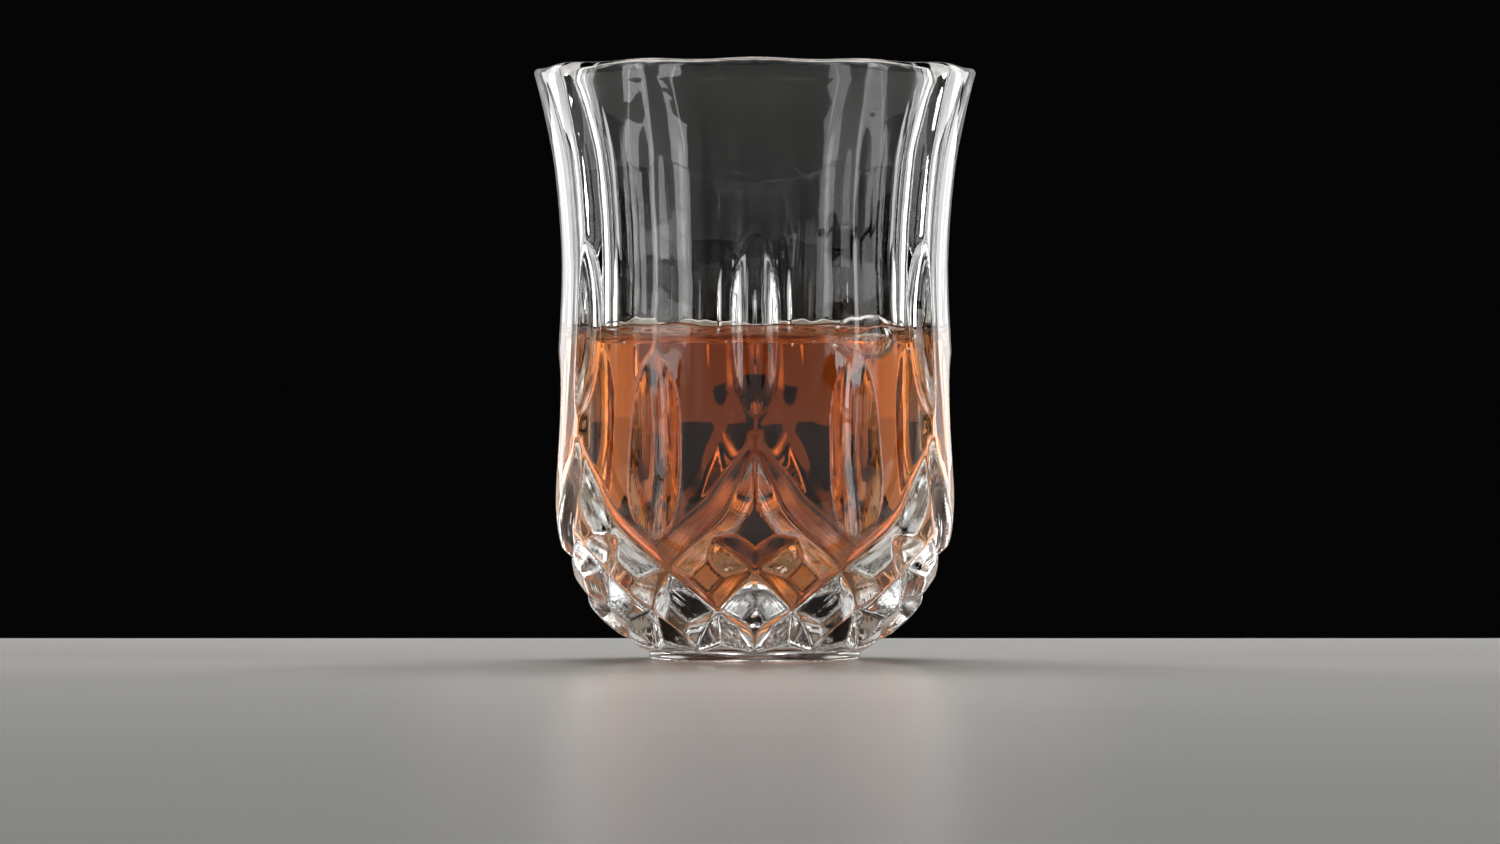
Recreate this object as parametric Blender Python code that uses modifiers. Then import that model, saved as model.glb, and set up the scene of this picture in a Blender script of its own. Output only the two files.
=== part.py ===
"""Whisky tumbler: a small bell-shaped glass pressed in one piece, and the measure of whisky in it.

The glass has twelve flat panels, two rows of upright lens cuts on the ridges between them, and a
lattice of crossing mitre cuts round its bowl. It stands on a plain round foot.

Frame: metres, +Z up, origin at the centre of the plane that the foot rests on. Angles are counted
from the front of the glass, which faces -Y, and grow towards +X. A ridge faces the front.
"""

import math

import bmesh
import bpy
import numpy as np
from mathutils import Vector

MM = 0.001

# ---- driving dimensions -----------------------------------------------------------------------------

HEIGHT = 72.0 * MM
PANELS = 12
SECTOR = 360 / PANELS  # degrees from one ridge to the next
BOWL_STEPS = 36  # facets round the bowl
HOLLOW_STEPS = 40  # facets round the hollow and the whisky
STAND_OFF = 0.3 * MM  # gap kept between the whisky and the glass
CLEAR = 2.0 * MM  # how far a cutter runs past the end of what it cuts

# All outlines below are (radius, height) in millimetres, from the top down.
LIP_OUTSIDE = [(25.7, 72.0), (26.45, 71.8), (26.82, 71.25)]
# outside along the ridges: flared mouth, waist, and down to the shoulder of the bowl
SIDE = [(26.82, 71.25), (25.7, 66.7), (24.3, 59.4), (23.45, 49.0), (23.65, 40.0), (24.3, 30.5), (24.6, 24.6)]
# outside of the round bowl, from its shoulder down to the foot
BOWL = [(24.6, 24.6), (24.35, 18.6), (23.6, 14.2), (22.1, 9.9), (19.6, 6.1), (16.4, 3.1), (12.9, 1.0)]
FOOT = [(12.9, 1.0), (12.85, 0.3), (12.5, 0.0)]
# shallow hollow under the foot, from the inner edge of the resting ring to its middle
UNDERSIDE = [(10.0, 0.0), (9.0, 0.35), (5.0, 0.6), (0.0, 0.7)]
# the inside: mouth, wall, and rounded floor
HOLLOW = [
    (24.45, 71.25), (22.9, 65.5), (21.55, 56.0), (20.95, 46.0), (20.75, 37.0), (20.4, 29.0),
    (19.5, 21.0), (17.2, 14.4), (13.2, 10.3), (7.5, 8.4), (0.0, 7.9),
]
LIP_INSIDE = [(25.3, 72.0), (24.75, 71.8), (24.45, 71.25)]

# upright lens cuts: (middle height, length, depth, half width for each unit of depth)
UPPER_LENS = (39.9 * MM, 22.5 * MM, 1.25 * MM, 2.1)
LOWER_LENS = (26.1 * MM, 21.8 * MM, 1.6 * MM, 2.0)

# bottom line of a slanting mitre cut: (degrees past its own ridge, height in millimetres)
SLANT = [(-2.0, 27.5), (5.0, 21.2), (12.0, 16.6), (30.0, 10.4), (45.0, 4.9), (61.0, 1.2)]
SLANT_DEPTH = {-1: 1.82 * MM, 1: 1.96 * MM}  # the cuts one way are a little deeper than the others
SLANT_SPREAD = 1.25
OFF_RIDGE = 0.3  # degrees that a lens cut lies off its ridge, so that no edge runs along another
SHORT_SLANT_START = 14.0  # degrees past its ridge: the short cuts start inside a long one
SLANT_RUN_IN = 9.0  # degrees over which a cut reaches its full depth
SLANT_RUN_OUT = 14.0  # degrees over which it runs out above the foot
CUTTER_RISE = 0.8 * MM  # how far a cutter stands out of the glass

LIQUID_LEVEL = 37.8 * MM
MENISCUS_RISE = 2.4 * MM
MENISCUS_REACH = 2.2 * MM
MENISCUS_EDGE = 0.4 * MM  # width of the flat top of the meniscus
MENISCUS_CURVE = 2.5  # power by which it steepens towards the wall
FLOOR_RADIUS = 18.0 * MM  # inside this radius the hollow counts as floor: the gap is upright there


# ---- curves -----------------------------------------------------------------------------------------


def smooth_line(knots, per_span):
    """Points of the Catmull-Rom curve through the knots, per_span of them for each span."""
    knots = np.array(knots, float)
    padded = [2 * knots[0] - knots[1], *knots, 2 * knots[-1] - knots[-2]]
    found = []
    for before, start, end, after in zip(padded, padded[1:], padded[2:], padded[3:]):
        for t in np.arange(per_span) / per_span:
            leaving = (end - before) / 2
            arriving = (after - start) / 2
            rise = 3 * (end - start) - 2 * leaving - arriving
            settle = 2 * (start - end) + leaving + arriving
            found.append(start + leaving * t + rise * t**2 + settle * t**3)
    return [tuple(point) for point in [*found, knots[-1]]]


def in_metres(outline):
    """An outline in millimetres, turned to metres."""
    return [(radius * MM, height * MM) for radius, height in outline]


def radius_at(outline, height):
    """Radius of a top-down outline at a height."""
    radii, heights = np.array(outline).T
    return float(np.interp(height, heights[::-1], radii[::-1]))


SIDE_LINE = in_metres(smooth_line(SIDE, 2))
BOWL_LINE = in_metres(smooth_line(BOWL, 2))
HOLLOW_LINE = in_metres(smooth_line(HOLLOW, 2))
OUTSIDE_LINE = SIDE_LINE + BOWL_LINE[1:]


# ---- objects ----------------------------------------------------------------------------------------


def make_material(name, colour, roughness, ior, transmission):
    """A Principled material; colour is linear RGB."""
    material = bpy.data.materials.new(name)
    material.use_nodes = True
    material.diffuse_color = (*colour, 1.0)
    shader = material.node_tree.nodes["Principled BSDF"]
    shader.inputs["Base Color"].default_value = (*colour, 1.0)
    shader.inputs["Roughness"].default_value = roughness
    shader.inputs["Metallic"].default_value = 0.0
    shader.inputs["IOR"].default_value = ior
    shader.inputs["Transmission Weight"].default_value = transmission
    return material


def make_object(name, mesh, collection):
    """An object of this mesh; one in the cutters' collection is drawn as a wire and not rendered."""
    made = bpy.data.objects.new(name, mesh)
    collection.objects.link(made)
    if collection is not parts:
        made.hide_render = True
        made.display_type = "WIRE"
    return made


def turned(name, outline, steps, collection):
    """Solid of revolution: the outline runs from the axis at the top to the axis at the bottom."""
    mesh = bpy.data.meshes.new(name)
    points = [(radius, 0.0, height) for radius, height in outline]
    edges = [(index, index + 1) for index in range(len(points) - 1)]
    mesh.from_pydata(points, edges, [])
    made = make_object(name, mesh, collection)
    screw = made.modifiers.new("Turn", "SCREW")
    screw.axis = "Z"
    screw.angle = math.tau
    screw.steps = steps
    screw.render_steps = steps
    screw.use_merge_vertices = True
    screw.merge_threshold = 0.00001
    return made


def direction(degrees):
    """Level unit vector at an angle from the front of the glass."""
    return Vector((math.sin(math.radians(degrees)), -math.cos(math.radians(degrees)), 0.0))


def on_glass(degrees, height):
    """Point on the uncut outside, and the outward normal there."""
    step = 0.2 * MM
    radius = radius_at(OUTSIDE_LINE, height)
    slope = (radius_at(OUTSIDE_LINE, height + step) - radius_at(OUTSIDE_LINE, height - step)) / (2 * step)
    out = direction(degrees)
    up = Vector((0.0, 0.0, 1.0))
    return out * radius + up * height, (out - up * slope).normalized()


def mitre_cutter(name, route, spread, collection):
    """Three-sided bar lofted along a cut, with its edge sunk in the glass.

    The route is a list of (degrees, height, depth). The bar's half width grows with its depth, as it
    does under the angled rim of a cutting wheel, so that the cut is pointed where the depth runs out.
    """
    places = [on_glass(degrees, height) for degrees, height, depth in route]
    bars = bmesh.new()
    rings = []
    for index, (point, normal) in enumerate(places):
        depth = route[index][2]
        ahead = places[min(index + 1, len(places) - 1)][0]
        behind = places[max(index - 1, 0)][0]
        across = (ahead - behind).cross(normal).normalized()
        half_width = (depth + CUTTER_RISE) * spread
        top = point + normal * CUTTER_RISE
        corners = (top + across * half_width, top - across * half_width, point - normal * depth)
        rings.append([bars.verts.new(corner) for corner in corners])
    for ring, following in zip(rings, rings[1:]):
        for side in range(3):
            other = (side + 1) % 3
            bars.faces.new((ring[side], ring[other], following[other], following[side]))
    bars.faces.new(rings[0])
    bars.faces.new(reversed(rings[-1]))
    bmesh.ops.recalc_face_normals(bars, faces=bars.faces)
    mesh = bpy.data.meshes.new(name)
    bars.to_mesh(mesh)
    bars.free()
    return make_object(name, mesh, collection)


def lens_route(ridge, lens, stations=7):
    """Route of an upright lens cut: its depth follows the round edge of the wheel, a parabola."""
    middle, length, depth, spread = lens
    route = []
    for reach in np.linspace(-1.08, 1.08, stations):
        route.append((ridge, middle + reach * length / 2, depth * (1 - reach**2)))
    return route


def slant_route(ridge, side, start):
    """Route of a slanting cut that starts some degrees past its ridge and runs down to the foot."""
    route = []
    for past, height in smooth_line(SLANT, 3):
        if past >= start:
            run_in = min((past - start) / SLANT_RUN_IN, 1.0)
            run_out = min((SLANT[-1][0] - past) / SLANT_RUN_OUT, 1.0)
            depth = SLANT_DEPTH[side] * math.sin(min(run_in, run_out) * math.pi / 2)
            route.append((ridge + side * past, height * MM, depth))
    return route


def cut(target, name, operation, **operand):
    """An EXACT Boolean on the target, with one cutter or a collection of them."""
    boolean = target.modifiers.new(name, "BOOLEAN")
    boolean.operation = operation
    boolean.solver = "EXACT"
    if "collection" in operand:
        boolean.operand_type = "COLLECTION"
    for key, value in operand.items():
        setattr(boolean, key, value)


# ---- the glass --------------------------------------------------------------------------------------


def make_glass(cutters):
    """The pressed glass: panelled prism within a round bowl, less its hollow and its cuts."""
    top = HEIGHT + CLEAR
    wide = SIDE_LINE[0][0] + CLEAR
    panelled = [(0.0, HEIGHT), *in_metres(LIP_OUTSIDE), *SIDE_LINE[1:]]
    panelled += [(wide, SIDE_LINE[-1][1] - 3 * CLEAR), (wide, -CLEAR), (0.0, -CLEAR)]
    glass = turned("glass_tumbler", panelled, PANELS, parts)
    glass.data.materials.append(make_material("pressed_glass", (0.83, 0.86, 0.84), 0.02, 1.52, 1.0))

    bowl_outline = [(0.0, top), (wide, top), (wide, BOWL_LINE[0][1] + 3 * CLEAR), *BOWL_LINE]
    bowl_outline += [*in_metres(FOOT)[1:], *in_metres(UNDERSIDE)]
    bowl = turned("cutter_bowl", bowl_outline, BOWL_STEPS, cutters)
    bowl.rotation_euler.z = math.pi / BOWL_STEPS
    cut(glass, "Round bowl", "INTERSECT", object=bowl)

    mouth = in_metres(LIP_INSIDE)
    hollow_outline = [(0.0, top), (mouth[0][0], top), *mouth, *HOLLOW_LINE[1:]]
    hollow = turned("cutter_hollow", hollow_outline, HOLLOW_STEPS, cutters)
    hollow.rotation_euler.z = math.pi / HOLLOW_STEPS
    cut(glass, "Hollow", "DIFFERENCE", object=hollow)

    for row, lens, first in (("upper", UPPER_LENS, 0), ("lower", LOWER_LENS, 1)):
        for ridge in range(first, PANELS, 2):
            name = f"cutter_{row}_lens_{ridge + 1:02d}"
            cutter = mitre_cutter(name, lens_route(ridge * SECTOR + OFF_RIDGE, lens), lens[3], cutters)
            cut(glass, name, "DIFFERENCE", object=cutter)
    for ridge in range(PANELS):
        start = SLANT[0][0] if ridge % 2 == 0 else SHORT_SLANT_START
        for side in (-1, 1):
            name = f"cutter_slant_{ridge + 1:02d}_{'left' if side < 0 else 'right'}"
            route = slant_route(ridge * SECTOR, side, start)
            cutter = mitre_cutter(name, route, SLANT_SPREAD, cutters)
            cut(glass, name, "DIFFERENCE", object=cutter)
    return glass


# ---- the whisky -------------------------------------------------------------------------------------


def make_whisky():
    """The drink: it fills the hollow up to its level and climbs the wall in a meniscus."""
    crest = LIQUID_LEVEL + MENISCUS_RISE
    crest_radius = radius_at(HOLLOW_LINE, crest) - STAND_OFF
    outline = [(0.0, LIQUID_LEVEL)]
    for share in (1.0, 0.6, 0.3, 0.0):
        radius = crest_radius - MENISCUS_EDGE - MENISCUS_REACH * share
        outline.append((radius, LIQUID_LEVEL + MENISCUS_RISE * (1 - share) ** MENISCUS_CURVE))
    outline.append((crest_radius, crest))
    for radius, height in HOLLOW_LINE:
        if height < crest - STAND_OFF:
            lifted = STAND_OFF if radius < FLOOR_RADIUS else 0.0
            outline.append((max(radius - STAND_OFF, 0.0), height + lifted))
    whisky = turned("whisky", outline, HOLLOW_STEPS, parts)
    whisky.data.materials.append(make_material("whisky", (0.30, 0.075, 0.016), 0.0, 1.36, 1.0))
    return whisky


# ---- build ------------------------------------------------------------------------------------------

for old in list(bpy.data.objects):
    bpy.data.objects.remove(old, do_unlink=True)

parts = bpy.data.collections.new("whisky_tumbler")
cutting = bpy.data.collections.new("cutters")
for group in (parts, cutting):
    bpy.context.scene.collection.children.link(group)

make_glass(cutting)
make_whisky()
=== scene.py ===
# %% [markdown]
# # A small cut-pattern tumbler with whisky
#
# The real thing is two pieces: a glass, pressed from one gob in a mould, and the drink in it. The CAD
# frame holds both as plain faceted solids. This lesson builds the surfaces that the eye sees: the
# smooth flared wall with its twelve panels, the round-bottomed lens cuts, the lattice of V-shaped
# mitre cuts, the rounded edges that fire-polishing leaves, and the liquid with its meniscus.
#
# Both pieces are surfaces of two parameters, worked out as whole arrays with numpy: one parameter
# runs up the profile and the other runs round the axis. Angles are in degrees from the front of the
# glass, which faces -Y, and grow towards +X. Lengths are in millimetres until a mesh is made.

# %% Load the fixed frame
import math

import bpy
import numpy as np
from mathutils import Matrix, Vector


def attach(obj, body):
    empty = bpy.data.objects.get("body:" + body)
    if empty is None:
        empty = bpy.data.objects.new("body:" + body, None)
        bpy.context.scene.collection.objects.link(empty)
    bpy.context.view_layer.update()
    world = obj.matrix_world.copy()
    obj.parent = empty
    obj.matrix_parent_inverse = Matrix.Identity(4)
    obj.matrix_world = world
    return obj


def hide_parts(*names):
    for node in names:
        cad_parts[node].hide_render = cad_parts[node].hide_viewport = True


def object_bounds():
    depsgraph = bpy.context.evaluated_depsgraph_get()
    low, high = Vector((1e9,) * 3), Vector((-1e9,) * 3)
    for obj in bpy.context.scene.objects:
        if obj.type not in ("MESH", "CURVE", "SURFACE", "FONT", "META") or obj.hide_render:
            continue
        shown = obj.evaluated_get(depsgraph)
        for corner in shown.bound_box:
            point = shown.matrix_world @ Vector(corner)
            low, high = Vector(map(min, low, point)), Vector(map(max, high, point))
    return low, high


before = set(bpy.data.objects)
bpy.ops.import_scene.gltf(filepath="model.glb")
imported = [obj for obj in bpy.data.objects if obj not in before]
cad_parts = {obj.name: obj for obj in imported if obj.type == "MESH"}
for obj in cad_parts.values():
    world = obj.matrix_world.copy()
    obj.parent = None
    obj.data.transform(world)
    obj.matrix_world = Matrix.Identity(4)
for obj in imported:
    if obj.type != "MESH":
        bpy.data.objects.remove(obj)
cad_low, cad_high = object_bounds()
MM = 0.001
HEIGHT = cad_high[2] / MM
LIP_RADIUS = cad_high[0] / MM
print(f"CAD box: {2 * LIP_RADIUS:.1f} mm across the lip and {HEIGHT:.1f} mm high")

# %% [markdown]
# ## The camera
#
# A long lens from a metre away, level with the lower third of the glass. It comes first, so that
# each later step can be looked at. The camera is tipped up by a seventh of a
# degree in place of a lens shift, which other views would inherit.

# %% Camera
CAMERA_DISTANCE = 1000.0
CAMERA_HEIGHT = 26.4
CAMERA_SIDE = -0.6
CAMERA_TIP = 0.139  # degrees
FIELD_WIDTH = 181.8  # what the camera takes in at the glass's axis
SENSOR_WIDTH = 36

camera_data = bpy.data.cameras.new("studio_camera")
camera_data.sensor_width = SENSOR_WIDTH
camera_data.lens = SENSOR_WIDTH * CAMERA_DISTANCE / FIELD_WIDTH
camera_data.clip_start = 0.01
camera = bpy.data.objects.new("studio_camera", camera_data)
camera.location = (CAMERA_SIDE * MM, -CAMERA_DISTANCE * MM, CAMERA_HEIGHT * MM)
camera.rotation_euler = (math.radians(90 + CAMERA_TIP), 0, 0)
bpy.context.scene.collection.objects.link(camera)
bpy.context.scene.camera = camera
print(f"lens {camera_data.lens:.0f} mm")

# %% [markdown]
# ## Curves and grids
#
# Two helpers make every shape here. The first draws a smooth profile through a few chosen points and
# spaces new points evenly along it. The second skins a stack of rings. Where the pattern is fine, a
# ring has twice the points of its plain neighbour, and three triangles for each pair of edges join
# the two, which keeps the mesh light where the wall is smooth.


# %% Profile and skin helpers
DENSITY = 64  # points for each knot, from which the even ones are read


def smooth_profile(knots, spacing):
    """Evenly spaced points on the curve through the knots.

    Between two knots the curve is the cubic that leaves along the chord of the knots before and
    after its start, and arrives along the chord of the knots round its end (Catmull-Rom).
    """
    knots = np.array(knots, float)
    padded = np.vstack([2 * knots[0] - knots[1], knots, 2 * knots[-1] - knots[-2]])
    position = np.linspace(0, len(knots) - 1, DENSITY * len(knots))
    span = np.minimum(position.astype(int), len(knots) - 2)
    t = (position - span)[:, None]
    before, start, end, after = (padded[span + shift] for shift in range(4))
    leaving = (end - before) / 2
    arriving = (after - start) / 2
    dense = start + leaving * t + (3 * (end - start) - 2 * leaving - arriving) * t**2
    dense = dense + (2 * (start - end) + leaving + arriving) * t**3
    run = np.concatenate([[0], np.cumsum(np.hypot(*np.diff(dense, axis=0).T))])
    steps = max(int(round(run[-1] / spacing)), 2)
    even = np.linspace(0, run[-1], steps + 1)
    found = np.column_stack([np.interp(even, run, dense[:, axis]) for axis in range(2)])
    return np.clip(found, knots.min(axis=0), knots.max(axis=0))


CROWDING = 0.35  # how much closer the points of a ring stand where the sides of the lens cuts are
CROWDS = 24  # places round the glass where they do: the two sides of twelve lenses


def around(columns):
    """Angles of a ring's points from the front: even steps plus a sine that crowds them 24 times."""
    even = np.arange(columns) * 360 / columns - 180
    return even + CROWDING * 360 / (2 * math.pi * CROWDS) * np.sin(np.radians(even * CROWDS))


def place(radius, height, degrees):
    """Points in space: (radius sin, -radius cos, height) of the angle, in millimetres."""
    turn = np.radians(degrees)
    height = np.broadcast_to(height, np.broadcast(radius, turn).shape)
    return np.stack([radius * np.sin(turn), -radius * np.cos(turn), height], axis=-1)


def skin(rings):
    """Vertices and faces of the surface through a stack of rings, faced outwards as it climbs.

    Equal rings share quads. A ring twice as fine as the next shares three triangles for each pair of
    its edges. A ring of one point is a pole, and shares a fan of triangles.
    """
    starts = np.concatenate([[0], np.cumsum([len(ring) for ring in rings])])
    faces = []
    for index in range(len(rings) - 1):
        low, high = len(rings[index]), len(rings[index + 1])
        count = min(low, high) if min(low, high) > 1 else max(low, high)
        here = np.arange(count)
        ahead = (here + 1) % count
        below, above = starts[index], starts[index + 1]
        if low == high:
            faces += np.column_stack([below + here, below + ahead, above + ahead, above + here]).tolist()
        elif low == 1:
            faces += np.column_stack([0 * here + below, above + ahead, above + here]).tolist()
        elif high == 1:
            faces += np.column_stack([below + here, below + ahead, 0 * here + above]).tolist()
        elif low > high:
            fine, middle, far = below + 2 * here, below + 2 * here + 1, below + 2 * ahead
            faces += np.column_stack([fine, middle, above + here]).tolist()
            faces += np.column_stack([middle, above + ahead, above + here]).tolist()
            faces += np.column_stack([middle, far, above + ahead]).tolist()
        else:
            fine, middle, far = above + 2 * here, above + 2 * here + 1, above + 2 * ahead
            faces += np.column_stack([below + here, middle, fine]).tolist()
            faces += np.column_stack([below + here, below + ahead, middle]).tolist()
            faces += np.column_stack([below + ahead, far, middle]).tolist()
    return np.vstack(rings), faces


def make_piece(name, parts):
    """One smooth-shaded object from several (vertices, faces) in millimetres."""
    vertices, faces, shift = [], [], 0
    for points, loops in parts:
        faces += [[corner + shift for corner in loop] for loop in loops]
        vertices.append(points)
        shift += len(points)
    mesh = bpy.data.meshes.new(name)
    mesh.from_pydata((np.vstack(vertices) * MM).tolist(), [], faces)
    mesh.shade_smooth()
    mesh.validate()
    made = bpy.data.objects.new(name, mesh)
    bpy.context.scene.collection.objects.link(made)
    triangles = sum(len(loop) - 2 for loop in faces)
    print(f"{name}: {len(mesh.vertices)} points, {triangles} triangles")
    return made


# %% [markdown]
# ## The glass, before its pattern
#
# A plunger presses the gob against the mould, so the inside is a plain draughted cup and the outside
# is what the mould says. The outside's profile runs from the foot through the round bowl, the waist
# and the flared mouth. The profile is a few knots on a smooth curve, as a glassmaker would draw it.

# %% Profiles, (radius, height) from the foot up
UNDERSIDE = [(0, 0.7), (5, 0.62), (8.6, 0.36), (9.6, 0.1), (10.2, 0.0), (11.2, 0.0), (12.1, 0.0)]
FOOT = [(12.1, 0.0), (12.5, 0.06), (12.75, 0.3), (12.85, 0.8), (13.05, 1.15)]
BODY = [
    (13.05, 1.15), (14.6, 1.9), (16.9, 3.5), (19.6, 6.1), (22.0, 9.9), (23.55, 14.2), (24.35, 18.8),
    (24.62, 24.5), (24.32, 30.5), (23.68, 40.0), (23.45, 49.0), (24.28, 59.4), (25.7, 66.7),
    (LIP_RADIUS, HEIGHT - 0.9),
]
LIP = [
    (LIP_RADIUS, HEIGHT - 0.9), (26.7, HEIGHT - 0.4), (26.35, HEIGHT - 0.1), (25.7, HEIGHT),
    (25.0, HEIGHT - 0.12), (24.5, HEIGHT - 0.48), (24.25, HEIGHT - 1.1),
]
HOLLOW = [
    (24.25, HEIGHT - 1.1), (22.75, 65.5), (21.4, 56.0), (20.75, 46.0), (20.6, 37.0), (20.3, 29.0),
    (19.5, 21.0), (17.2, 14.4), (13.2, 10.3), (7.5, 8.4), (0, 7.9),
]
CUT_TOP = 53.0  # the lens cuts end below this height
FINE, PLAIN = 480, 240  # points round a ring, on the pattern and on the plain wall

outside = smooth_profile(BODY, spacing=0.44)
cut_rows = outside[outside[:, 1] < CUT_TOP]
plain_rows = smooth_profile(outside[outside[:, 1] >= CUT_TOP][::4], spacing=1.3)
print(f"{len(cut_rows)} rows under the pattern, {len(plain_rows)} above it")

# %% [markdown]
# ## Panels
#
# Above the bowl the outside has twelve flat panels. A flat facet between two ridges of a round body
# lies inside the circle: a point u degrees from the nearest ridge is at R cos 15 / cos(15 - u). The
# ridges are softened, because the mould's corner is never sharp and fire-polishing rounds it more.
# The panels fade out in the round bowl, and weaken towards the lip, where the rim was reheated.

# %% Panel depth
SECTOR = 30.0  # degrees from ridge to ridge
RIDGE_SOFTNESS = 1.5  # degrees
BOWL_FADE = (16, 27)  # heights between which the panels fade out into the bowl
WEAKENS_FROM = 60  # height from which the reheated mouth weakens them
LIP_LOSS = 0.5  # share of their depth that is gone at the lip


def ease(value, low, high):
    """0 below low, 1 above high, and a smooth step 3t^2 - 2t^3 between them."""
    t = np.clip((value - low) / (high - low), 0, 1)
    return t * t * (3 - 2 * t)


def panel_drop(degrees, radius):
    """How far a flat panel lies inside the circle of that radius through its ridges."""
    off = np.abs((degrees + SECTOR / 2) % SECTOR - SECTOR / 2)
    off = np.sqrt(off**2 + RIDGE_SOFTNESS**2) - RIDGE_SOFTNESS
    half = math.radians(SECTOR / 2)
    return radius * (1 - math.cos(half) / np.cos(half - np.radians(off)))


def panel_strength(height):
    """Full on the wall, none in the bowl, and about half at the lip."""
    return ease(height, *BOWL_FADE) * (1 - LIP_LOSS * ease(height, WEAKENS_FROM, HEIGHT))


print(f"panels up to {panel_drop(SECTOR / 2, LIP_RADIUS):.2f} mm deep")

# %% [markdown]
# ## The cuts
#
# Two kinds of wheel made the pattern's master. A round-edged wheel, held upright on each ridge, makes
# a lens: its section is a hollow arc, so light bends more and more towards the lens's edges. An
# angled wheel makes a mitre cut, a V-shaped trench. It starts under a lens, slants down across the
# bowl, and crosses the next ones, which leaves rows of small flat-topped pyramids.
#
# Each cut is a height field over the body's surface, and the glass is the lowest of them all. A soft
# minimum, the logarithm of a sum of exponentials, rounds the edges as fire-polishing does.

# %% Cut sizes
UPPER_LENS = {"middle": 39.9, "half_length": 10.6, "depth": 2.1, "section_radius": 3.4}
LOWER_LENS = {"middle": 26.1, "half_length": 11.0, "depth": 2.0, "section_radius": 5.2}
# a mitre cut's bottom line: (degrees past its own ridge, height)
SLANT = [(-2.0, 27.5), (5.0, 21.2), (12.0, 16.6), (30.0, 10.4), (45.0, 4.9), (61.0, 1.2)]
SLANT_DEPTH = 1.95
SLANT_SPREAD = 1.25  # half width for each unit of depth
SLANT_RUN_IN = 9.0  # degrees over which a cut reaches its depth
SLANT_RUN_OUT = 14.0
SHORT_START = 14.0  # degrees past its ridge: a short cut starts inside a long one
TRENCH_ROUNDING = 0.10
EDGE_ROUNDING = 0.07
WHEEL_SHARE = 0.97  # share of a wheel's radius up to which a lens has its round section
FLANK = 4  # steepness of the field further out
FIELD_LIMITS = (-9, 2)  # they keep the exponentials within range


def radius_of(height):
    """Radius of the uncut body at a height."""
    return np.interp(height, outside[:, 1], outside[:, 0])


def slant_path(ridge, side, start):
    """Points along a mitre cut's bottom line on the body, its directions, and its depth there."""
    line = smooth_profile(SLANT, spacing=0.6)
    line = line[line[:, 0] >= start]
    past, height = line.T
    points = place(radius_of(height), height, ridge + side * past)
    towards = np.gradient(points, axis=0)
    towards /= np.linalg.norm(towards, axis=1, keepdims=True)
    share = np.minimum((past - start) / SLANT_RUN_IN, (SLANT[-1][0] - past) / SLANT_RUN_OUT)
    depth = SLANT_DEPTH * np.sin(np.clip(share, 0, 1) * math.pi / 2)
    return points, towards, depth


def trench(points, path):
    """Height field of a mitre cut, and how far across and along the cut each point lies.

    The field is minus the cut's depth at its bottom line, and rises evenly to both sides.
    """
    line, towards, depth = path
    gaps = points[:, None, :] - line[None, :, :]
    nearest = np.argmin(np.einsum("ijk,ijk->ij", gaps, gaps), axis=1)
    gap = gaps[np.arange(len(points)), nearest]
    along = np.einsum("ij,ij->i", gap, towards[nearest])
    across = np.linalg.norm(gap - along[:, None] * towards[nearest], axis=1)
    step = np.linalg.norm(line[1] - line[0])
    position = nearest + np.clip(along / step, -1, 1)
    floor = np.interp(position, np.arange(len(depth)), depth)
    beyond = np.maximum(np.abs(along) - step, 0)
    rise = np.sqrt((across / SLANT_SPREAD) ** 2 + TRENCH_ROUNDING**2) - TRENCH_ROUNDING
    return rise + beyond - floor, across, position * step


def lens(degrees, height, radius, cut):
    """Height field of a lens cut, and how far across and along it each point lies.

    The field is R - sqrt(R^2 - x^2) across, shallower to both ends as a parabola.
    """
    across = np.abs(radius * np.radians(degrees))
    reach = (height - cut["middle"]) / cut["half_length"]
    wheel = cut["section_radius"]
    inside = np.minimum(across, WHEEL_SHARE * wheel)
    rise = wheel - np.sqrt(wheel**2 - inside**2) + FLANK * (across - inside)
    return rise - cut["depth"] * (1 - reach**2), across, height


def soft_minimum(fields):
    """Lowest of the fields, with the corners between them rounded."""
    return -EDGE_ROUNDING * np.log(np.exp(-np.clip(fields, *FIELD_LIMITS) / EDGE_ROUNDING).sum(axis=0))


for label, cut in (("upper", UPPER_LENS), ("lower", LOWER_LENS)):
    half_width = math.sqrt(cut["section_radius"] ** 2 - (cut["section_radius"] - cut["depth"]) ** 2)
    print(f"{label} lenses {2 * cut['half_length']:.1f} mm long and {2 * half_width:.1f} mm wide")


# %% [markdown]
# The pattern repeats six times round the glass, so an angle is first folded to the sixty degrees
# round the nearest upper lens. A real mould is not perfect: a slow sway of a few tenths of a
# millimetre, different all round, keeps the cuts from looking stamped by a machine.

# %% Relief of the whole outside
SWAY = [(2, 0.9, 0.11), (3, 2.3, 0.17), (5, 4.1, 0.23), (7, 0.4, 0.31)]  # (turns, start, rate up)
SWAY_TURN = 0.5  # degrees
SWAY_RISE = 0.3
SLANT_MARGIN = 3  # mitre cuts are worked out up to this far above their highest point
FAR = 9.0  # field of a mitre cut further up, too high to matter
# (ridge, side to which it leans) of the mitre cuts that reach the sixty degrees round an upper lens
LONG_PATHS = [(-60, 1), (0, -1), (0, 1), (60, -1)]
SHORT_PATHS = [(-90, 1), (-30, 1), (30, -1), (90, -1)]


def sway(degrees, height, phase):
    """A smooth, closed wander: the mean of a few waves round and up the glass, from -1 to 1."""
    waves = [
        np.sin(np.radians(degrees) * turns + start + phase + height * rate) for turns, start, rate in SWAY
    ]
    return sum(waves) / len(waves)


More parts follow.
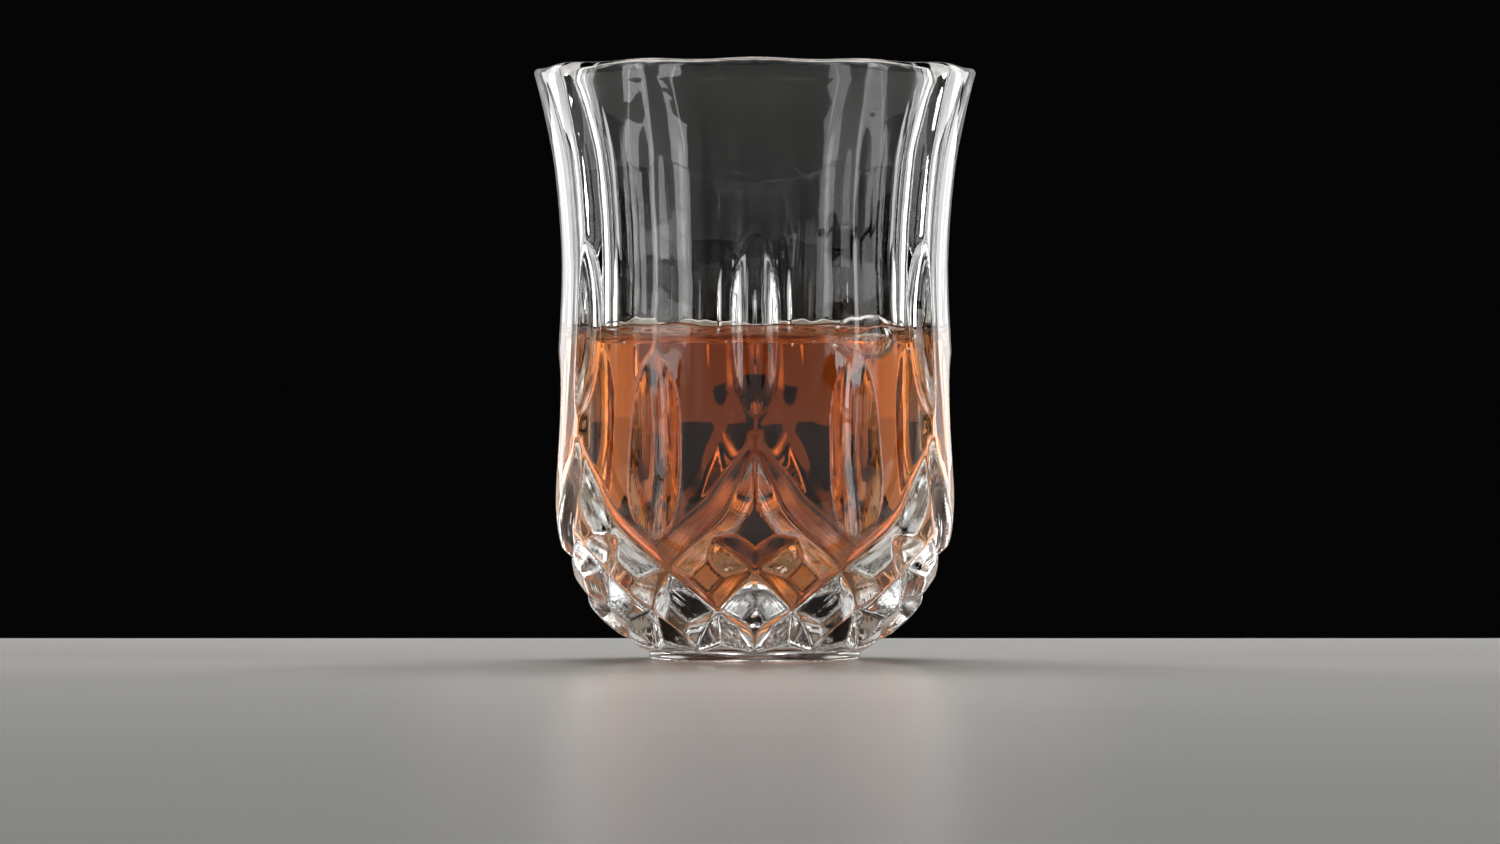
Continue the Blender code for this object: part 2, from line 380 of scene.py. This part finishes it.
def relief(radius, height, degrees):
    """Depth of the finished outside below its profile, and its place on the cut that made it.

    The place is (across the cut, along the cut, 1 in a cut and 0 on a panel), in millimetres.
    """
    turned = degrees + SWAY_TURN * sway(degrees, height, 0.0)
    raised = height + SWAY_RISE * sway(degrees, height, 2.0)
    drop = panel_drop(turned, radius) * panel_strength(height)
    folded = (turned + SECTOR) % (2 * SECTOR) - SECTOR
    cuts = [(-drop, 0 * drop, 0 * drop), lens(folded, raised, radius, UPPER_LENS)]
    cuts.append(lens(np.abs(folded) - SECTOR, raised, radius, LOWER_LENS))
    low = raised.ravel() < SLANT[0][1] + SLANT_MARGIN
    points = place(radius, raised, folded).reshape(-1, 3)[low]
    for starts, first in ((LONG_PATHS, SLANT[0][0]), (SHORT_PATHS, SHORT_START)):
        for ridge, side in starts:
            found = trench(points, slant_path(ridge, side, first))
            spread = [np.full(raised.size, FAR) for _ in found]
            for whole, part in zip(spread, found):
                whole[low] = part
            cuts.append(tuple(whole.reshape(raised.shape) for whole in spread))
    fields, across, along = (np.stack(kind) for kind in zip(*cuts))
    lowest = np.argmin(fields, axis=0)[None]
    marks = [np.take_along_axis(kind, lowest, axis=0)[0] for kind in (across, along)]
    marks.append((lowest[0] > 0).astype(float))
    return soft_minimum(fields), np.stack(marks, axis=-1)


cuts_round = 360 / SECTOR
print(f"{cuts_round:.0f} long and {cuts_round:.0f} short mitre cuts, and {cuts_round:.0f} lenses")

# %% [markdown]
# ## The glass as one closed skin
#
# The rings run from the middle of the underside, out over the foot, up the outside, over the lip and
# down the inside to the middle of its floor. One closed skin matters for glass: a ray of light counts
# its way in and out, and a gap would leave it thinking that it is still inside.

# %% Build the glass
FOOT_BLEND = 0.5  # height over which the relief fades in above the foot
RIM_SAG = 0.34  # how much lower the rim is between two ridges, where the flame ran it down
RIM_REACH = 5.0  # how far down the wall the sag fades out
RIM_WAVE, RIM_SWAY = 0.32, 0.18  # shares of the sag that wave with the panels and that wander


def normals_of(profile):
    """Outward unit normals of a profile that climbs the outside: its direction turned clockwise."""
    direction = np.gradient(profile, axis=0)
    direction /= np.hypot(*direction.T)[:, None]
    return np.column_stack([direction[:, 1], -direction[:, 0]])


def cut_rings():
    """The patterned rows, moved along the profile's normal by the relief, and their cut marks."""
    degrees = around(FINE)[None, :]
    radius, height = (cut_rows[:, axis][:, None] for axis in range(2))
    height = np.broadcast_to(height, (len(cut_rows), FINE))
    fade = ease(height, cut_rows[0, 1], cut_rows[0, 1] + FOOT_BLEND)
    depth, marks = relief(radius, height, np.broadcast_to(degrees, height.shape))
    depth = depth * fade
    normal = normals_of(outside)[: len(cut_rows)]
    moved_radius = radius + normal[:, :1] * depth
    moved_height = height + normal[:, 1:] * depth
    return list(place(moved_radius, moved_height, degrees)), marks.reshape(-1, 3)


def rim_sag(height, degrees):
    """Loss of height near the rim: a share of the sag that waves with the panels and sways."""
    wave = 0.5 - RIM_WAVE * np.cos(np.radians(degrees * 360 / SECTOR)) - RIM_SWAY * sway(degrees, 0.0, 1.0)
    return RIM_SAG * ease(height, HEIGHT - RIM_REACH, HEIGHT) * wave


def panel_rings(profile, columns, strength):
    """Plain rows with the panels only, each by its own strength."""
    degrees = around(columns)[None, :]
    radius, height = (profile[:, axis][:, None] for axis in range(2))
    turned = degrees + SWAY_TURN * sway(degrees, height, 0.0)
    drop = panel_drop(turned, radius) * strength[:, None]
    return list(place(radius - drop, height - rim_sag(height, degrees), degrees))


def round_rings(profile, columns):
    """Plain round rows; a row on the axis is one point."""
    rings = []
    for radius, height in profile:
        degrees = around(columns if radius > 0 else 1)
        rings.append(place(radius, height - rim_sag(height, degrees), degrees))
    return rings


under_rows = smooth_profile(UNDERSIDE, spacing=0.8)
foot_rows = smooth_profile(FOOT, spacing=0.22)
lip_rows = smooth_profile(LIP, spacing=0.25)
hollow_rows = smooth_profile(HOLLOW, spacing=1.1)
hollow_rows[-1, 0] = under_rows[0, 0] = 0
plain_strength = panel_strength(plain_rows[:, 1])
lip_strength = plain_strength[-1] * (1 - ease(np.arange(len(lip_rows)), 0, len(lip_rows) - 1))

rings = round_rings(under_rows[:-1], PLAIN)
rings += round_rings(foot_rows[:-1], FINE)
first_cut = sum(len(ring) for ring in rings)
patterned, cut_marks = cut_rings()
rings += patterned
rings += panel_rings(plain_rows[:-1], FINE, plain_strength[:-1])
rings += panel_rings(lip_rows[:-1], FINE, lip_strength[:-1])
rings += round_rings(hollow_rows, PLAIN)
glass = make_piece("pressed_glass_tumbler", [skin(rings)])
all_marks = np.zeros((len(glass.data.vertices), 3), np.float32)
all_marks[first_cut:first_cut + len(cut_marks)] = cut_marks
mark_layer = glass.data.attributes.new("cut_marks", "FLOAT_VECTOR", "POINT")
mark_layer.data.foreach_set("vector", all_marks.ravel())

# %% [markdown]
# ## The whisky
#
# Liquid wets clean glass and climbs it. With surface tension s and density d, the climb's length scale
# is a = sqrt(s / (d g)), about 1.8 mm for whisky. The edge stands sqrt(2) a above the level surface,
# and at a height z the surface is a (arcosh(2a/z) - arcosh(2a/h) + sqrt(4 - h^2/a^2) -
# sqrt(4 - z^2/a^2)) away from the wall. The liquid's skin lies a hair inside the glass, so that light
# passes from glass to liquid with no film of air between them.

# %% Meniscus
LEVEL = 37.8
CAPILLARY = 1.8
EDGE_RISE = math.sqrt(2) * CAPILLARY
OVERLAP = 0.05
WANDER = 0.13  # share by which the wet edge wanders up and down the wall
SURFACE_REACH = 6.0  # width of the finely made band of surface beside the wall


def meniscus_reach(rise):
    """Distance from the wall at which the surface stands that far above its level."""
    scaled, whole = rise / CAPILLARY, EDGE_RISE / CAPILLARY
    reach = np.arccosh(2 / scaled) - math.acosh(2 / whole)
    return CAPILLARY * (reach + math.sqrt(4 - whole**2) - np.sqrt(4 - scaled**2))


def hollow_radius(height):
    """Radius of the hollow at a height."""
    return np.interp(height, hollow_rows[::-1, 1], hollow_rows[::-1, 0])


# heights above the level, from the edge down to almost nothing, and closer together as they fall
LOWEST_SHARE, RISE_STEPS, RISE_POWER = 0.004, 400, 1.5
rise_table = EDGE_RISE * np.linspace(1, LOWEST_SHARE, RISE_STEPS) ** RISE_POWER
crest = LEVEL + EDGE_RISE
print(f"the whisky stands {LEVEL} mm high and climbs {EDGE_RISE:.1f} mm up the wall")

# %% [markdown]
# ## Bubbles
#
# Pouring leaves a few bubbles, and they drift to the wall because the meniscus slopes up towards it. A
# bubble is a hollow in the liquid: a closed skin turned inside out, which light leaves the liquid
# through. The large one stands above the level under a thin film, so the surface bulges over it.

# %% Bubble shapes
FILM = 0.3  # liquid over a bubble that stands above the surface
FILM_SOFTNESS = 0.12
SKIRT = 5.0  # fall of the film per unit of distance past the bubble's side
FILM_RANGE = 30  # it keeps the exponential within range
BUBBLE_RINGS, BUBBLE_COLUMNS = 19, 36

# degrees from the front, distance from the axis, height, then half sizes along, towards the wall, up
FOAM = [(43.5, 18.55, 38.7, 3.45, 1.85, 2.65), (70.5, 19.3, 38.5, 1.15, 0.95, 1.1)]
SEEDS = [
    (-47.0, 20.0, 38.0, 0.32, 0.28, 0.3), (-41.5, 19.9, 37.7, 0.2, 0.2, 0.2),
    (-24.0, 20.0, 37.9, 0.22, 0.2, 0.22), (-9.0, 20.1, 38.1, 0.18, 0.18, 0.18),
    (12.0, 20.0, 37.8, 0.24, 0.2, 0.22), (19.5, 20.1, 38.2, 0.2, 0.18, 0.2),
    (27.5, 19.9, 37.6, 0.36, 0.3, 0.34), (60.0, 19.8, 37.2, 0.34, 0.3, 0.34),
    (97.0, 19.6, 38.2, 0.8, 0.7, 0.75), (158.0, 19.5, 38.3, 1.0, 0.8, 0.85),
    (-118.0, 19.8, 38.0, 0.5, 0.4, 0.45),
]


def turned_by(degrees):
    """Matrix that turns row vectors from the front round to that angle."""
    turn = math.radians(degrees)
    return np.array([[math.cos(turn), math.sin(turn), 0], [-math.sin(turn), math.cos(turn), 0], [0, 0, 1]])


def bubble_skin(bubble):
    """The ellipsoid of a bubble, its faces turned to look inwards."""
    azimuth, distance, height, along, inward, up = bubble
    tilt = np.linspace(-math.pi / 2, math.pi / 2, BUBBLE_RINGS)
    rings = []
    for level in tilt:
        turn = np.radians(around(BUBBLE_COLUMNS if abs(level) < tilt[-1] else 1))
        ball = np.column_stack([
            along * np.cos(level) * np.sin(turn), -inward * np.cos(level) * np.cos(turn) - distance,
            up * np.sin(level) + height + 0 * turn,
        ])
        rings.append(ball @ turned_by(azimuth))
    points, faces = skin(rings)
    return points, [loop[::-1] for loop in faces]


def bulged(points):
    """The surface lifted over each standing bubble: the softened greater of level and film."""
    lifted = points.copy()
    for azimuth, distance, height, along, inward, up in FOAM:
        local = points @ turned_by(azimuth).T
        off = np.hypot(local[:, 0] / (along + FILM), (local[:, 1] + distance) / (inward + FILM))
        film = height + (up + FILM) * np.sqrt(np.maximum(1 - off**2, 0)) - SKIRT * np.maximum(off - 1, 0)
        above = np.clip((film - lifted[:, 2]) / FILM_SOFTNESS, -FILM_RANGE, FILM_RANGE)
        lifted[:, 2] += FILM_SOFTNESS * np.log1p(np.exp(above))
    return lifted


print(f"{len(FOAM)} bubbles under a bulging film, and {len(SEEDS)} smaller ones")

# %% Build the whisky
CLIMB_START = 0.5  # depth under the level from which the wet edge is finely made
CLIMB_FIRST, CLIMB_RINGS = 0.15, 8  # share of the climb where its first ring lies, and their number
SURFACE_RINGS, SURFACE_POWER = 34, 1.35  # the power crowds the rings towards the steep edge
WANDER_TURNS = 3
LEVEL_GAP, LEVEL_RINGS = 1, 14  # distance from the fine band to the first plain ring, and their number

wet = hollow_rows[hollow_rows[:, 1] < LEVEL - CLIMB_START][::-1].copy()
wet[1:, 0] += OVERLAP
wet[:, 1] -= OVERLAP
distances = SURFACE_REACH * np.linspace(0, 1, SURFACE_RINGS) ** SURFACE_POWER
rises = np.interp(distances, meniscus_reach(rise_table), rise_table, right=0)
wander = 1 + WANDER * sway(around(FINE) * WANDER_TURNS, 0.0, 4.0)
edge_height = LEVEL + EDGE_RISE * wander
climb = []
for step in np.linspace(CLIMB_FIRST, 1, CLIMB_RINGS):
    height = LEVEL - CLIMB_START + step * (edge_height - LEVEL + CLIMB_START)
    climb.append(place(hollow_radius(height) + OVERLAP, height, around(FINE)))
band = [
    place(hollow_radius(edge_height) - distance, LEVEL + rise * wander, around(FINE))
    for distance, rise in zip(distances, rises)
]
rest_radii = np.linspace(hollow_radius(crest) - SURFACE_REACH - LEVEL_GAP, 0, LEVEL_RINGS)
rings = round_rings(wet, PLAIN) + climb + [bulged(ring) for ring in band]
rings += round_rings(np.column_stack([rest_radii, np.full(len(rest_radii), LEVEL)]), PLAIN)
whisky = make_piece("whisky_measure", [skin(rings)] + [bubble_skin(bubble) for bubble in FOAM + SEEDS])

# %% [markdown]
# ## Materials
#
# Soda-lime glass is a clear dielectric of IOR 1.52, pressed and fire-polished: very smooth, with a
# faint waviness where the hot glass chilled against the mould, and a scuffed foot. Whisky is water and
# alcohol, IOR 1.36, with a little dissolved colour from the cask, so its tint grows with depth. That
# is absorption in the volume and not a paint on its surface.


# %% Material helpers
def from_hex(code):
    """Linear RGB of an sRGB hex colour."""
    channels = np.array([int(code[start:start + 2], 16) / 255 for start in (0, 2, 4)])
    linear = np.where(channels <= 0.04045, channels / 12.92, ((channels + 0.055) / 1.055) ** 2.4)
    return (*linear.tolist(), 1.0)


def add_node(tree, kind, settings=None, **inputs):
    """Adds a node; settings are its own values, and inputs are values or output sockets to link."""
    node = tree.nodes.new(kind)
    for key, value in (settings or {}).items():
        setattr(node, key, value)
    for key, value in inputs.items():
        socket = node.inputs[key.replace("_", " ")]
        if isinstance(value, bpy.types.NodeSocket):
            tree.links.new(value, socket)
        else:
            socket.default_value = value
    return node


def new_material(name):
    """A material with no nodes, and its node tree."""
    material = bpy.data.materials.new(name)
    material.use_nodes = True
    material.node_tree.nodes.clear()
    return material, material.node_tree


# %% Pressed glass
# A ripple every 6 mm, up to 30 micrometres deep, is the chill mark of the mould. One every 1.3 mm and
# 2 micrometres deep is the tool marks of its steel. Under the foot the glass has been dragged over
# tables, so the ring that it rests on is scuffed in patches about 0.5 mm wide.
SCUFF_TOP = 0.0005  # metres
glass_material, tree = new_material("soda_lime_glass_pressed_fire_polished")
coordinates = add_node(tree, "ShaderNodeTexCoord").outputs["Object"]
chill = add_node(tree, "ShaderNodeTexNoise", Vector=coordinates, Scale=170.0, Detail=1.0)
steel = add_node(tree, "ShaderNodeTexNoise", Vector=coordinates, Scale=770.0, Detail=3.0)
ripple = add_node(
    tree, "ShaderNodeBump", Height=chill.outputs["Fac"], Strength=0.06, Distance=0.0005,
)
tool_marks = add_node(
    tree, "ShaderNodeBump", Height=steel.outputs["Fac"], Strength=0.012, Distance=0.0002,
    Normal=ripple.outputs["Normal"],
)
# The wheel that cut the mould left lines along each cut, 0.15 to 0.3 mm apart and up to 11 mm long.
# They are drawn deeper than real ones, so that they show.
wheel_place = add_node(tree, "ShaderNodeAttribute", {"attribute_name": "cut_marks"}).outputs["Vector"]
drawn_out = add_node(tree, "ShaderNodeMapping", Vector=wheel_place, Scale=(3.4, 0.09, 0.0))
lines = add_node(tree, "ShaderNodeTexNoise", Vector=drawn_out.outputs["Vector"], Scale=1.0, Detail=2.0)
in_cut = add_node(tree, "ShaderNodeSeparateXYZ", Vector=wheel_place).outputs["Z"]
line_depth = add_node(tree, "ShaderNodeMapRange", Value=in_cut, To_Max=lines.outputs["Fac"])
lined = add_node(
    tree, "ShaderNodeBump", Height=line_depth.outputs["Result"], Strength=0.18, Distance=0.0002,
    Normal=tool_marks.outputs["Normal"],
)
above_table = add_node(tree, "ShaderNodeSeparateXYZ", Vector=coordinates).outputs["Z"]
near_table = add_node(
    tree, "ShaderNodeMapRange", Value=above_table, From_Min=SCUFF_TOP, From_Max=0.0, To_Min=0.0, To_Max=1.0,
)
patches = add_node(tree, "ShaderNodeTexNoise", Vector=coordinates, Scale=2000.0, Detail=4.0)
worn = add_node(
    tree, "ShaderNodeMapRange", Value=patches.outputs["Fac"], From_Min=0.4, From_Max=0.65, To_Min=0.05,
    To_Max=0.45,
)
scuffs = add_node(
    tree, "ShaderNodeMapRange", Value=near_table.outputs["Result"], To_Max=worn.outputs["Result"],
)
shader = add_node(
    tree, "ShaderNodeBsdfPrincipled", Base_Color=from_hex("FDFEFD"), Roughness=scuffs.outputs["Result"],
    IOR=1.52, Transmission_Weight=1.0, Normal=lined.outputs["Normal"],
)
add_node(tree, "ShaderNodeOutputMaterial", Surface=shader.outputs["BSDF"])
glass.data.materials.append(glass_material)
print(f"{glass_material.name}: {len(tree.nodes)} nodes")

# %% Whisky
# Alcohol leaves the surface faster than water, which keeps it in slow ripples a few millimetres wide.
whisky_material, tree = new_material("whisky_cask_coloured")
coordinates = add_node(tree, "ShaderNodeTexCoord").outputs["Object"]
stir = add_node(tree, "ShaderNodeTexNoise", Vector=coordinates, Scale=260.0, Detail=1.0)
ripple = add_node(tree, "ShaderNodeBump", Height=stir.outputs["Fac"], Strength=0.05, Distance=0.0005)
shader = add_node(
    tree, "ShaderNodeBsdfPrincipled", Base_Color=from_hex("FFFFFF"), Roughness=0.0, IOR=1.36,
    Transmission_Weight=1.0, Normal=ripple.outputs["Normal"],
)
depth_tint = add_node(tree, "ShaderNodeVolumeAbsorption", Color=from_hex("EFBA50"), Density=106.0)
add_node(
    tree, "ShaderNodeOutputMaterial", Surface=shader.outputs["BSDF"], Volume=depth_tint.outputs["Volume"]
)
whisky.data.materials.append(whisky_material)
print(f"{whisky_material.name}: {len(tree.nodes)} nodes")

# %% [markdown]
# ## Studio
#
# Glass shows only what it bends towards the eye. Against a dark surround, tall strips of light behind
# and to both sides, out of the frame, draw every edge in white: the classic dark-field set. The inner
# strip of each pair is dim, because the drink bends it towards the eye over a wide area. Softboxes in
# front light the lens cuts, two lights high behind draw the rim, and three small warm cards stand low
# behind the glass, round the drink, so that the whisky glows from the back. Here lengths are in metres.

# %% Floor
FLOOR_SIDE, FLOOR_BACK, FLOOR_FRONT = 0.45, 0.11, -0.75
floor_corners = [
    (-FLOOR_SIDE, FLOOR_FRONT, 0), (FLOOR_SIDE, FLOOR_FRONT, 0),
    (FLOOR_SIDE, FLOOR_BACK, 0), (-FLOOR_SIDE, FLOOR_BACK, 0),
]
floor_mesh = bpy.data.meshes.new("studio_floor")
floor_mesh.from_pydata(floor_corners, [], [(0, 1, 2, 3)])
floor = bpy.data.objects.new("studio_floor", floor_mesh)
bpy.context.scene.collection.objects.link(floor)
# a painted board, whose tone drifts over some 70 mm
floor_material, tree = new_material("pale_floor")
coordinates = add_node(tree, "ShaderNodeTexCoord").outputs["Object"]
cloud = add_node(tree, "ShaderNodeTexNoise", Vector=coordinates, Scale=14.0, Detail=3.0)
tone = add_node(
    tree, "ShaderNodeMix", {"data_type": "RGBA"}, Factor=cloud.outputs["Fac"], A=from_hex("E6E4E0"),
    B=from_hex("EEECE8"),
)
shader = add_node(
    tree, "ShaderNodeBsdfPrincipled", Base_Color=tone.outputs["Result"], Roughness=0.28,
)
add_node(tree, "ShaderNodeOutputMaterial", Surface=shader.outputs["BSDF"])
floor_mesh.materials.append(floor_material)
print(f"floor {2 * FLOOR_SIDE:.1f} m wide and {FLOOR_BACK - FLOOR_FRONT:.2f} m deep")

# %% Lights and surround
GLASS_MIDDLE = (0, 0, 0.036)
CARD_TOP, CARD_SIDE = 0.0307, 0.021  # heights of the cards' middles
CARD_GLOW = 0.26
CARD_COLOUR = "FFF0DC"
LIGHT_BOUNCES = 24  # light crosses glass, whisky and bubbles many times before it gets out


def soft_light(name, spot, size, radiance, aim=GLASS_MIDDLE, colour="FFFFFF"):
    """A rectangular light at (azimuth, distance, height), facing a point on the glass's axis.

    A flat light that looks equally bright from all sides gives out pi times its area times its
    radiance.
    """
    azimuth, distance, height = spot
    data = bpy.data.lights.new(name, "AREA")
    data.shape = "RECTANGLE"
    data.size, data.size_y = size
    data.energy = math.pi * size[0] * size[1] * radiance
    data.color = from_hex(colour)[:3]
    light = bpy.data.objects.new(name, data)
    turn = math.radians(azimuth)
    light.location = (distance * math.sin(turn), -distance * math.cos(turn), height)
    light.rotation_euler = (Vector(aim) - light.location).to_track_quat("-Z", "Y").to_euler()
    light.visible_camera = False
    bpy.context.scene.collection.objects.link(light)


soft_light("softbox_right", (68, 1.2, 0.36), (0.44, 0.78), 4.0)
soft_light("softbox_left", (-64, 1.2, 0.06), (0.5, 0.3), 2.4)
soft_light("softbox_left_high", (-68, 1.2, 0.52), (0.42, 0.6), 2.2)
soft_light("softbox_front_left", (-42, 1.3, 0.05), (0.24, 0.5), 0.8)
for side, label in ((-1, "left"), (1, "right")):
    soft_light("strip_back_" + label, (side * 141, 1.2, 0.15), (0.43, 1.3), 2.8)
    soft_light("strip_inner_" + label, (side * 157.5, 1.2, 0.15), (0.25, 1.3), 0.6)
soft_light("softbox_top", (180, 0.25, 0.55), (0.5, 0.3), 4.6)
soft_light("softbox_high_back", (180, 0.9, 0.75), (0.9, 0.3), 0.6)
soft_light("card_top", (180, 0.05, CARD_TOP), (0.09, 0.0115), CARD_GLOW, (0, 0, CARD_TOP), CARD_COLOUR)
for side, label in ((-1, "left"), (1, "right")):
    spot = (side * 152, 0.056, CARD_SIDE)
    soft_light("card_side_" + label, spot, (0.03, 0.0085), CARD_GLOW, (0, 0, CARD_SIDE), CARD_COLOUR)

world = bpy.data.worlds.new("dark_surround")
bpy.context.scene.world = world
world.use_nodes = True
world.node_tree.nodes["Background"].inputs["Color"].default_value = from_hex("050505")
bpy.context.scene.view_settings.view_transform = "Standard"
bpy.context.scene.cycles.max_bounces = LIGHT_BOUNCES
bpy.context.scene.cycles.transmission_bounces = LIGHT_BOUNCES
print(f"{len(bpy.data.lights)} soft lights")

# %% Tie each piece to the frame
for piece, node, slot in ((glass, "glass_tumbler", "pressed_glass"), (whisky, "whisky", "whisky")):
    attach(piece, "root")
    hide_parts(node)
